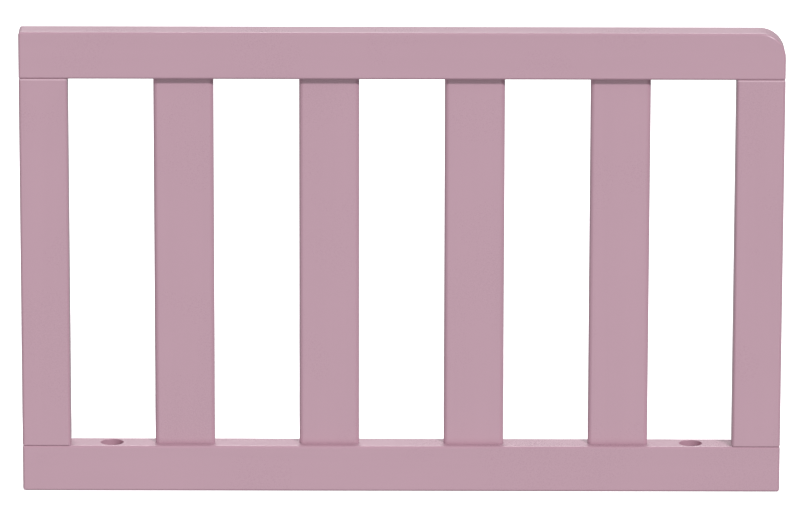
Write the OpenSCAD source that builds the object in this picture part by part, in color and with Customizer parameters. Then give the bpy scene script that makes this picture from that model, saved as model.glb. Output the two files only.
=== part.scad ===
// Guard rail for a toddler bed: a slatted wooden panel that bolts down onto the side rail of the
// bed and closes part of its open side. Seen from the front (-Y), the left end stands square
// against the bed's post and the free right end has a rounded top corner.
// Millimetres, +Z up, origin at the middle of the underside.

/* [Panel] */
// Length of the panel, along X
panel_length = 711; // [560:1:900]
// Height of the panel, along Z
panel_height = 442; // [340:1:520]
// Thickness of the rails and stiles, along Y
panel_depth = 28; // [26:0.5:34]

/* [Boards] */
// Height of the top rail's face
top_rail_height = 44.5; // [38:0.5:60]
// Height of the bottom rail's face
bottom_rail_height = 44; // [38:1:60]
// Width of an end stile's face
stile_width = 45; // [38:1:60]
// Width of a slat's face
slat_width = 56; // [35:1:62]
// Thickness of a slat
slat_thickness = 9.5; // [9:0.5:14]

/* [Edges] */
// Radius of the rounded top corner at the free end
corner_radius = 24; // [12:1:36]
// Radius of the rails' long edges
rail_edge = 2.2; // [1:0.1:4]
// Radius of a rail's square ends where they meet its outer edge, seen from the front
rail_end_corner = 3.4; // [2:0.1:6]
// Radius of the stiles' upright edges
stile_edge = 2.6; // [1:0.1:4]
// Radius of a stile's four corners, seen from the front
stile_corner = 2; // [0.5:0.1:4]
// Radius of the slats' upright edges
slat_edge = 4.2; // [1:0.1:4.4]
// Radius of the eased ends of the stiles, which makes the groove at each joint
joint_edge = 1; // [0.3:0.1:2.4]

/* [Joinery] */
// Depth of a slat's end in its mortise
tenon_length = 12; // [8:1:18]
// Gap for glue round a slat's end
mortise_gap = 0.15; // [0.1:0.05:0.3]
// Diameter of a dowel
dowel_diameter = 8; // [6:1:10]
// Length of a dowel
dowel_length = 38; // [30:2:46]
// Distance between the two dowels of a joint
dowel_spacing = 22; // [16:1:26]
// Gap for glue round a dowel
dowel_gap = 0.05; // [0.02:0.01:0.15]

/* [Bolt holes] */
// Distance between the two bolt holes in the bottom rail
bolt_spacing = 544; // [400:1:700]
// Diameter of the hole for the bolt's shank
bolt_hole_diameter = 7; // [5:0.5:9]
// Diameter of the counterbore for the bolt's head and washers
counterbore_diameter = 21; // [16:0.5:22]
// Depth of the counterbore
counterbore_depth = 12; // [8:1:20]
// Radius of the counterbore's eased rim
rim_edge = 0.8; // [0.4:0.1:1]

/* [Hidden] */

$fn = 72;
paint = [0.74, 0.61, 0.66];
beech = [0.80, 0.66, 0.48];

slat_count = 4;
// Room past a surface, so that a cut runs clean through it
over = 1;
// Space for glue past a dowel's end and under a slat's end
glue_space = 1;
// Chamfer round the foot of a bolt hole
bolt_rim_chamfer = 0.4;
// Grooves along a dowel that let glue and air out of its hole
flute_count = 16;
flute_radius = 0.55;
flute_depth = 0.35;
dowel_chamfer = 1;

// Places worked out from the driving dimensions
half_length = panel_length / 2;
top_rail_bottom = panel_height - top_rail_height;
stile_height = top_rail_bottom - bottom_rail_height;
stile_x = half_length - stile_width / 2;
slat_gap = (panel_length - 2 * stile_width - slat_count * slat_width) / (slat_count + 1);
slat_pitch = slat_width + slat_gap;
slat_height = stile_height + 2 * tenon_length;
slat_z = bottom_rail_height - tenon_length;
dowel_hole_depth = dowel_length / 2 + glue_space;

function slat_x(i) = (i - (slat_count + 1) / 2) * slat_pitch;

// ---- Outlines ----

// Rectangle with four round corners, centred
module round_rect(width, height, radius) {
  square([width - 2 * radius, height], center = true);
  square([width, height - 2 * radius], center = true);
  for (x = [-1, 1], y = [-1, 1])
    translate([x * (width / 2 - radius), y * (height / 2 - radius)]) circle(radius);
}

// ---- Solids that repeat ----

// Extrudes an outline drawn in the YZ plane along X, centred
module along_x(length) {
  rotate([90, 0, 90]) linear_extrude(length, center = true) children();
}

// Extrudes an outline drawn in the XZ plane along Y, centred
module along_y(length) {
  rotate([90, 0, 0]) linear_extrude(length, center = true) children();
}

// Stile centred on the origin, with its length along Z
module stile_blank() {
  intersection() {
    linear_extrude(stile_height, center = true) round_rect(stile_width, panel_depth, stile_edge);
    along_y(panel_depth + over) round_rect(stile_width, stile_height, stile_corner);
    along_x(stile_width + over) round_rect(panel_depth, stile_height, joint_edge);
  }
}

// Rail seen from the front. Its outer side, 1 for the upper and -1 for the lower one, has the
// larger corners.
module rail_outline(height, outer_side) {
  intersection() {
    round_rect(panel_length, height, rail_edge);
    translate([0, -outer_side * rail_end_corner])
      round_rect(panel_length, height + 2 * rail_end_corner, rail_end_corner);
  }
}

// Rail centred on the origin, with its length along X
module rail_blank(height, outer_side) {
  intersection() {
    along_x(panel_length) round_rect(panel_depth, height, rail_edge);
    along_y(panel_depth + over) rail_outline(height, outer_side);
    linear_extrude(height + over, center = true)
      round_rect(panel_length, panel_depth, rail_edge);
  }
}

// Pair of dowel holes that run both ways from the joint plane at z = 0
module dowel_holes() {
  for (side = [-1, 1])
    translate([side * dowel_spacing / 2, 0, 0])
      cylinder(h = 2 * dowel_hole_depth, d = dowel_diameter + 2 * dowel_gap, center = true);
}

// Dowel holes at both ends of one of the rails, at height z
module rail_dowel_holes(z) {
  for (side = [-1, 1]) translate([side * stile_x, 0, z]) dowel_holes();
}

// Mortises for all the slats, running glue_space deeper than the slats' ends
module mortises() {
  for (i = [1 : slat_count])
    translate([slat_x(i), 0, slat_z - glue_space])
      linear_extrude(slat_height + 2 * glue_space)
        round_rect(slat_width + 2 * mortise_gap, slat_thickness + 2 * mortise_gap,
                   slat_edge + mortise_gap);
}

// Cutter that rounds over the rim of a hole of that radius, whose face lies at z = 0
module rim_cutter(radius, edge) {
  rotate_extrude() difference() {
    translate([radius - over, -edge]) square([edge + over, edge + over]);
    translate([radius + edge, -edge]) circle(edge);
  }
}

// Stepped hole for one mounting bolt, down through the bottom rail
module bolt_hole() {
  translate([0, 0, -over])
    cylinder(h = bottom_rail_height + over, d = bolt_hole_diameter);
  translate([0, 0, bottom_rail_height - counterbore_depth])
    cylinder(h = counterbore_depth + over, d = counterbore_diameter);
  translate([0, 0, bottom_rail_height]) rim_cutter(counterbore_diameter / 2, rim_edge);
  translate([0, 0, -over])
    cylinder(h = over + bolt_rim_chamfer, r1 = bolt_hole_diameter / 2 + over + bolt_rim_chamfer,
             r2 = bolt_hole_diameter / 2);
}

// ---- Sub-parts ----

// Quarter turn at the free end, whose edge keeps the rail's edge radius all the way round
module corner_turn() {
  rotate([90, 0, 0]) rotate_extrude(angle = 90) intersection() {
    translate([0, -panel_depth]) square([corner_radius + over, 2 * panel_depth]);
    round_rect(2 * corner_radius, panel_depth, rail_edge);
  }
}

// Top rail's solid before the joints are cut
module top_rail_blank() {
  turn_x = half_length - corner_radius;
  turn_z = panel_height - corner_radius;
  middle_z = top_rail_bottom + top_rail_height / 2;
  intersection() {
    translate([0, 0, middle_z]) rail_blank(top_rail_height, 1);
    translate([-half_length - over, -panel_depth, top_rail_bottom - over])
      cube([turn_x + half_length + over, 2 * panel_depth, top_rail_height + 2 * over]);
  }
  intersection() {
    translate([0, 0, middle_z]) rail_blank(top_rail_height, 1);
    translate([turn_x, -panel_depth, top_rail_bottom - over])
      cube([corner_radius + over, 2 * panel_depth, turn_z - top_rail_bottom + over]);
  }
  translate([turn_x, 0, turn_z]) corner_turn();
}

module top_rail() {
  color(paint) difference() {
    top_rail_blank();
    mortises();
    rail_dowel_holes(top_rail_bottom);
  }
}

module bottom_rail() {
  color(paint) difference() {
    translate([0, 0, bottom_rail_height / 2]) rail_blank(bottom_rail_height, -1);
    mortises();
    rail_dowel_holes(bottom_rail_height);
    for (side = [-1, 1]) translate([side * bolt_spacing / 2, 0, 0]) bolt_hole();
  }
}

// End stile: side is -1 for the left one and 1 for the right one
module stile(side) {
  color(paint) difference() {
    translate([side * stile_x, 0, bottom_rail_height + stile_height / 2]) stile_blank();
    rail_dowel_holes(top_rail_bottom);
    rail_dowel_holes(bottom_rail_height);
  }
}

// Slat number i, counted from the left, with its ends set in the rails
module slat(i) {
  color(paint) translate([slat_x(i), 0, slat_z])
    linear_extrude(slat_height) round_rect(slat_width, slat_thickness, slat_edge);
}

// Grooved dowel across the joint at height z. side picks the stile, and place is -1 for the
// dowel on the left of that joint and 1 for the one on its right.
module dowel(side, place, z) {
  radius = dowel_diameter / 2;
  color(beech) translate([side * stile_x + place * dowel_spacing / 2, 0, z - dowel_length / 2])
    difference() {
      rotate_extrude() polygon([
        [0, 0], [radius - dowel_chamfer, 0], [radius, dowel_chamfer],
        [radius, dowel_length - dowel_chamfer], [radius - dowel_chamfer, dowel_length],
        [0, dowel_length],
      ]);
      for (k = [0 : flute_count - 1])
        rotate((k + 0.5) * 360 / flute_count)
          translate([radius + flute_radius - flute_depth, 0, -over])
            cylinder(h = dowel_length + 2 * over, r = flute_radius, $fn = 24);
    }
}

top_rail();
bottom_rail();
stile(-1);  // left_stile
stile(1);  // right_stile
slat(1);  // slat_1
slat(2);  // slat_2
slat(3);  // slat_3
slat(4);  // slat_4
dowel(-1, -1, top_rail_bottom);  // dowel_left_top_outer
dowel(-1, 1, top_rail_bottom);  // dowel_left_top_inner
dowel(-1, -1, bottom_rail_height);  // dowel_left_bottom_outer
dowel(-1, 1, bottom_rail_height);  // dowel_left_bottom_inner
dowel(1, -1, top_rail_bottom);  // dowel_right_top_inner
dowel(1, 1, top_rail_bottom);  // dowel_right_top_outer
dowel(1, -1, bottom_rail_height);  // dowel_right_bottom_inner
dowel(1, 1, bottom_rail_height);  // dowel_right_bottom_outer
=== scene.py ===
"""Toddler bed guard rail: materials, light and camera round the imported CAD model. Metres."""
import math

import bmesh
import bpy
from mathutils import Matrix, Vector

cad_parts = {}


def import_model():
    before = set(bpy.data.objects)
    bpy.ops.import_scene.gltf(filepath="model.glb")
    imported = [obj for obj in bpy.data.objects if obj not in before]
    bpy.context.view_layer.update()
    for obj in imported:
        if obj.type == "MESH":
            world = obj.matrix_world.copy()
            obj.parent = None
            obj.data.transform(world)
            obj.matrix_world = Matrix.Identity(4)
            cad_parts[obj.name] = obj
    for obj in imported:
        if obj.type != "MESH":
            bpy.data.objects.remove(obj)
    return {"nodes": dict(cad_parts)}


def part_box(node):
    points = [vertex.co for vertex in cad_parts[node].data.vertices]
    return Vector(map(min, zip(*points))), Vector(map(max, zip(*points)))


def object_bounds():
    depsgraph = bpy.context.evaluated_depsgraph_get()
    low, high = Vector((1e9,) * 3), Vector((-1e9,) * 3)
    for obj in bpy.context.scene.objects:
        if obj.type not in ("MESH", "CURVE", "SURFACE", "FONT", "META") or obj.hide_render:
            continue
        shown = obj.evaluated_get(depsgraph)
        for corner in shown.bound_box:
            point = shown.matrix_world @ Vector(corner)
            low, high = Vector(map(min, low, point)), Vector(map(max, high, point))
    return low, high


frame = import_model()
CAD_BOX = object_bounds()

BOARDS_LEVEL = ("top_rail", "bottom_rail")
BOARDS_UPRIGHT = ("left_stile", "right_stile", "slat_1", "slat_2", "slat_3", "slat_4")
DOWELS = tuple(sorted(n for n in frame["nodes"] if n.startswith("dowel_")))

# Linear colours
PAINT = (0.52, 0.322, 0.396)
# Painted highlight colour for the band just below a stile's upper end
PAINTED_HIGHLIGHT_COLOUR = (0.86, 0.66, 0.74)
BEECH_LIGHT = (0.62, 0.43, 0.25)
BEECH_DARK = (0.46, 0.29, 0.15)

# Noise scales of the paint, from the broadest mark to the finest
CLOUD_SCALE = 9.0
FIGURE_SCALE = 60.0
PORE_SCALE = 420.0
PEEL_SCALE = 520.0
SPECK_SCALE = 1400.0
# How much the grain is drawn out along a board
GRAIN_STRETCH = 0.045
# Heights of the paint's relief, in metres, and how strongly each one shows
GRAIN_RELIEF, GRAIN_STRENGTH = 0.0002, 0.06
PEEL_RELIEF, PEEL_STRENGTH = 0.00012, 0.04
# Sharp edges that are worn: width in metres and how pale they get
WORN_WIDTH = 0.0012
WORN_AMOUNT = 0.35
# Painted highlight at a stile's upper end: a paler band of paint standing in for the light caught on
# its top edge; where it starts and is full, below the end, and how pale it gets
HIGHLIGHT_START, HIGHLIGHT_FULL = 0.0016, 0.0010
HIGHLIGHT_AMOUNT = 0.38
PAINT_IOR = 1.48
PAINT_SPECULAR = 0.5

# Soft boxes, in degrees: azimuth and elevation they stand in, angle they cover; then strength
SOFT_BOXES = {
    "key_right": (31.0, 33.0, 6.0, 2.16),
    "side_left": (-65.0, 12.0, 40.0, 0.58),
    "low_front": (0.0, -20.0, 40.0, 0.39),
    "high_back": (180.0, 45.0, 40.0, 1.68),
}
ROOM_LIGHT = 0.25
BACK_WALL = 0.16
STUDIO_GLOW = 0.78
STUDIO_RADIUS = 24.0
# Where the lamps are drawn. A sun lamp's light doesn't depend on it
LAMP_DISTANCE = 5.0

# Camera: metres from the panel, degrees, and millimetres of lens and sensor
CAMERA_DISTANCE = 6.75
CAMERA_ELEVATION = 14.69
CAMERA_AZIMUTH = -0.025
CAMERA_ROLL = 0.12
CAMERA_LENS = 325.1
CAMERA_SENSOR = 36.0
CAMERA_OFFSET = (-0.0016, 0.0, 0.0027)


# ---- Node helpers ----

class Shader:
    """A material's node tree, with short calls to add and link nodes."""

    def __init__(self, name):
        self.material = bpy.data.materials.new(name)
        self.material.use_nodes = True
        self.tree = self.material.node_tree
        self.tree.nodes.clear()
        self.output = self.tree.nodes.new("ShaderNodeOutputMaterial")

    def node(self, kind, settings=None, **inputs):
        """Adds a node. settings are its properties; inputs are its sockets, with _ for a space."""
        made = self.tree.nodes.new(kind)
        for key, value in (settings or {}).items():
            setattr(made, key, value)
        for key, value in inputs.items():
            self.put(made.inputs[key.replace("_", " ")], value)
        return made

    def put(self, socket, value):
        if isinstance(value, bpy.types.NodeSocket):
            self.tree.links.new(value, socket)
        else:
            socket.default_value = value

    def math(self, operation, a, b=0.0):
        made = self.node("ShaderNodeMath", {"operation": operation})
        self.put(made.inputs[0], a)
        self.put(made.inputs[1], b)
        return made.outputs[0]

    def mix(self, factor, a, b):
        made = self.node("ShaderNodeMix", {"data_type": "RGBA"})
        self.put(made.inputs["Factor"], factor)
        self.put(made.inputs["A"], a)
        self.put(made.inputs["B"], b)
        return made.outputs["Result"]

    def ramp(self, factor, low, high, to_low=0.0, to_high=1.0):
        made = self.node(
            "ShaderNodeMapRange", None,
            Value=factor, From_Min=low, From_Max=high, To_Min=to_low, To_Max=to_high,
        )
        return made.outputs["Result"]

    def noise(self, vector, scale, detail=2.0, roughness=0.5, distortion=0.0):
        made = self.node(
            "ShaderNodeTexNoise", None,
            Vector=vector, Scale=scale, Detail=detail, Roughness=roughness, Distortion=distortion,
        )
        return made.outputs["Fac"]

    def place(self, scale=(1, 1, 1), move=(0, 0, 0)):
        """The object's own coordinates, in metres, multiplied by scale and moved."""
        coordinates = self.node("ShaderNodeTexCoord").outputs["Object"]
        made = self.node("ShaderNodeMapping", None, Vector=coordinates, Scale=scale, Location=move)
        return made.outputs["Vector"]


def paint_material(name, along, seed, top=None):
    """Semi-gloss paint over close-grained wood. along is 0 for a level board and 2 for an upright one.
    top is the height of an upper end; a paler band just below it is a painted highlight standing in
    for the light caught on that edge."""
    s = Shader(name)
    stretch = [1.0, 1.0, 1.0]
    stretch[along] = GRAIN_STRETCH
    grain_place = s.place(scale=tuple(stretch), move=(seed * 0.37, seed * 0.11, seed * 0.53))
    plain_place = s.place(move=(seed * 0.2, 0, 0))

    pores = s.noise(grain_place, PORE_SCALE, 3.0, 0.6)
    figure = s.noise(grain_place, FIGURE_SCALE, 2.0, 0.5, 0.6)
    peel = s.noise(plain_place, PEEL_SCALE, 1.0, 0.4)
    clouds = s.noise(plain_place, CLOUD_SCALE, 2.0, 0.5)
    specks = s.noise(plain_place, SPECK_SCALE, 1.0, 0.5)

    edge = s.node("ShaderNodeBevel", {"samples": 6}, Radius=WORN_WIDTH).outputs["Normal"]
    true_normal = s.node("ShaderNodeNewGeometry").outputs["Normal"]
    turned = s.node("ShaderNodeVectorMath", {"operation": "DOT_PRODUCT"})
    s.put(turned.inputs[0], edge)
    s.put(turned.inputs[1], true_normal)
    worn = s.ramp(turned.outputs["Value"], 1.0, 0.93)

    tone = s.ramp(clouds, 0.3, 0.7, 0.985, 1.015)
    tone = s.math("MULTIPLY", tone, s.ramp(figure, 0.3, 0.7, 0.992, 1.008))
    colour = s.node("ShaderNodeVectorMath", {"operation": "SCALE"})
    s.put(colour.inputs[0], PAINT)
    s.put(colour.inputs["Scale"], tone)
    light_paint = tuple(min(1.0, c * 1.08 + 0.01) for c in PAINT) + (1.0,)
    shade = s.mix(s.math("MULTIPLY", worn, WORN_AMOUNT), colour.outputs["Vector"], light_paint)
    # Painted highlight: a paler band just below the stile's upper end, in place of the light caught on
    # that edge
    if top is not None:
        height = s.node("ShaderNodeSeparateXYZ", None, Vector=s.place()).outputs["Z"]
        painted_highlight = s.ramp(height, top - HIGHLIGHT_START, top - HIGHLIGHT_FULL, 0.0, HIGHLIGHT_AMOUNT)
        shade = s.mix(painted_highlight, shade, PAINTED_HIGHLIGHT_COLOUR + (1.0,))

    gloss = s.ramp(clouds, 0.3, 0.7, 0.27, 0.31)
    roughness = s.math("ADD", gloss, s.ramp(specks, 0.35, 0.65, -0.015, 0.015))

    relief = s.math("ADD", s.math("MULTIPLY", pores, 0.6), s.math("MULTIPLY", figure, 0.5))
    grain_bump = s.node(
        "ShaderNodeBump", None, Height=relief, Strength=GRAIN_STRENGTH, Distance=GRAIN_RELIEF,
    )
    peel_bump = s.node(
        "ShaderNodeBump", None,
        Height=peel, Strength=PEEL_STRENGTH, Distance=PEEL_RELIEF, Normal=grain_bump.outputs["Normal"],
    )
    surface = s.node(
        "ShaderNodeBsdfPrincipled", None,
        Base_Color=shade, Roughness=roughness, Normal=peel_bump.outputs["Normal"],
    )
    surface.inputs["IOR"].default_value = PAINT_IOR
    surface.inputs["Specular IOR Level"].default_value = PAINT_SPECULAR
    s.put(s.output.inputs["Surface"], surface.outputs["BSDF"])
    return s.material


def beech_material():
    """Bare turned beech: pale, with short dark flecks along the grain."""
    s = Shader("beech")
    grain = s.noise(s.place(scale=(1, 1, 0.06)), 900.0, 3.0, 0.6, 0.4)
    flecks = s.noise(s.place(scale=(1, 1, 0.15)), 2400.0, 1.0, 0.5)
    wood = s.mix(s.ramp(grain, 0.3, 0.7), BEECH_DARK + (1.0,), BEECH_LIGHT + (1.0,))
    fleck_colour = tuple(c * 0.7 for c in BEECH_DARK) + (1.0,)
    wood = s.mix(s.ramp(flecks, 0.62, 0.75, 0.0, 0.5), wood, fleck_colour)
    bump = s.node("ShaderNodeBump", None, Height=grain, Strength=0.4, Distance=0.0001)
    surface = s.node(
        "ShaderNodeBsdfPrincipled", None,
        Base_Color=wood, Roughness=s.ramp(grain, 0.3, 0.7, 0.6, 0.72), Normal=bump.outputs["Normal"],
    )
    s.put(s.output.inputs["Surface"], surface.outputs["BSDF"])
    return s.material


def dress(node, material):
    for slot in frame["nodes"][node].material_slots:
        slot.material = material


def dress_all():
    for i, node in enumerate(BOARDS_LEVEL):
        dress(node, paint_material("paint_" + node, 0, i + 1))
    for i, node in enumerate(BOARDS_UPRIGHT):
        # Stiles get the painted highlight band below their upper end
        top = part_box(node)[1].z if node.endswith("stile") else None
        dress(node, paint_material("paint_" + node, 2, i + 3, top))
    beech = beech_material()
    for node in DOWELS:
        dress(node, beech)


# ---- Stage, light and camera ----

def backdrop(foot):
    """White floor level with the panel's foot, which runs into a white wall all round. Only the camera
    sees it, so the panel's light comes from the soft boxes and the world alone."""
    s = Shader("studio_white")
    mottle = s.noise(s.place(), 3.0, 2.0)
    grey = s.ramp(mottle, 0.3, 0.7, 0.80, 0.84)
    colour = s.node("ShaderNodeCombineColor", None, Red=grey, Green=grey, Blue=grey).outputs["Color"]
    matt = s.node("ShaderNodeBsdfDiffuse", None, Color=colour).outputs["BSDF"]
    glow = s.node("ShaderNodeEmission", None, Strength=STUDIO_GLOW).outputs["Emission"]
    both = s.node("ShaderNodeAddShader")
    s.put(both.inputs[0], matt)
    s.put(both.inputs[1], glow)
    s.put(s.output.inputs["Surface"], both.outputs["Shader"])
    s.material.cycles.emission_sampling = "NONE"

    room = bmesh.new()
    bmesh.ops.create_uvsphere(room, u_segments=64, v_segments=32, radius=STUDIO_RADIUS)
    for corner in room.verts:
        corner.co.z = max(corner.co.z, 0.0) + foot
    mesh = bpy.data.meshes.new("backdrop")
    room.to_mesh(mesh)
    room.free()
    mesh.materials.append(s.material)
    made = bpy.data.objects.new("backdrop", mesh)
    made.visible_diffuse = False
    made.visible_glossy = False
    made.visible_shadow = False
    bpy.context.scene.collection.objects.link(made)


def aim(place, target):
    """Matrix at place whose -Z axis points at target."""
    turn = (Vector(target) - Vector(place)).to_track_quat("-Z", "Y")
    return Matrix.LocRotScale(Vector(place), turn, None)


def direction(azimuth, elevation):
    """Unit vector out from the panel. Azimuth 0 is straight in front of it and 90 is to its right."""
    turn, rise = math.radians(azimuth), math.radians(elevation)
    return Vector((math.sin(turn) * math.cos(rise), -math.cos(turn) * math.cos(rise), math.sin(rise)))


def soft_boxes():
    """Soft boxes so far away that each lights the whole panel evenly."""
    for name, (azimuth, elevation, spread, strength) in SOFT_BOXES.items():
        light = bpy.data.lights.new(name, "SUN")
        light.angle = math.radians(spread)
        light.energy = strength
        made = bpy.data.objects.new(name, light)
        made.matrix_world = aim(direction(azimuth, elevation) * LAMP_DISTANCE, (0.0, 0.0, 0.0))
        bpy.context.scene.collection.objects.link(made)


def world():
    """Dim white room, brighter behind the panel than in front of it."""
    made = bpy.data.worlds.new("studio")
    made.use_nodes = True
    tree = made.node_tree
    outward = tree.nodes.new("ShaderNodeTexCoord").outputs["Generated"]
    split = tree.nodes.new("ShaderNodeSeparateXYZ")
    tree.links.new(outward, split.inputs["Vector"])

    def fade(source, start, stop, low, high):
        ramp = tree.nodes.new("ShaderNodeMapRange")
        for key, value in (("From Min", start), ("From Max", stop), ("To Min", low), ("To Max", high)):
            ramp.inputs[key].default_value = value
        tree.links.new(source, ramp.inputs["Value"])
        return ramp.outputs["Result"]

    behind = fade(split.outputs["Y"], 0.0, 0.5, 0.0, BACK_WALL)
    below_top = fade(split.outputs["Z"], 0.35, 0.75, 1.0, 0.0)
    wall = tree.nodes.new("ShaderNodeMath")
    wall.operation = "MULTIPLY_ADD"
    tree.links.new(behind, wall.inputs[0])
    tree.links.new(below_top, wall.inputs[1])
    wall.inputs[2].default_value = ROOM_LIGHT
    background = tree.nodes["Background"]
    background.inputs["Color"].default_value = (1.0, 1.0, 1.0, 1.0)
    tree.links.new(wall.outputs["Value"], background.inputs["Strength"])
    bpy.context.scene.world = made


def camera(middle):
    """Long lens, a little above the panel and square to it."""
    target = middle + Vector(CAMERA_OFFSET)
    place = target + direction(CAMERA_AZIMUTH, CAMERA_ELEVATION) * CAMERA_DISTANCE
    roll = Matrix.Rotation(math.radians(CAMERA_ROLL), 4, "Z")
    data = bpy.data.cameras.new("camera")
    data.lens, data.sensor_width = CAMERA_LENS, CAMERA_SENSOR
    data.clip_start, data.clip_end = 0.5, 60.0
    made = bpy.data.objects.new("camera", data)
    made.matrix_world = aim(place, target) @ roll
    bpy.context.scene.collection.objects.link(made)
    bpy.context.scene.camera = made


def colour_management():
    settings = bpy.context.scene.view_settings
    settings.view_transform = "Standard"
    settings.look = "None"


def main():
    low, high = CAD_BOX
    middle = Vector((0.0, 0.0, (low.z + high.z) / 2))
    dress_all()
    backdrop(low.z)
    soft_boxes()
    world()
    camera(middle)
    colour_management()


main()
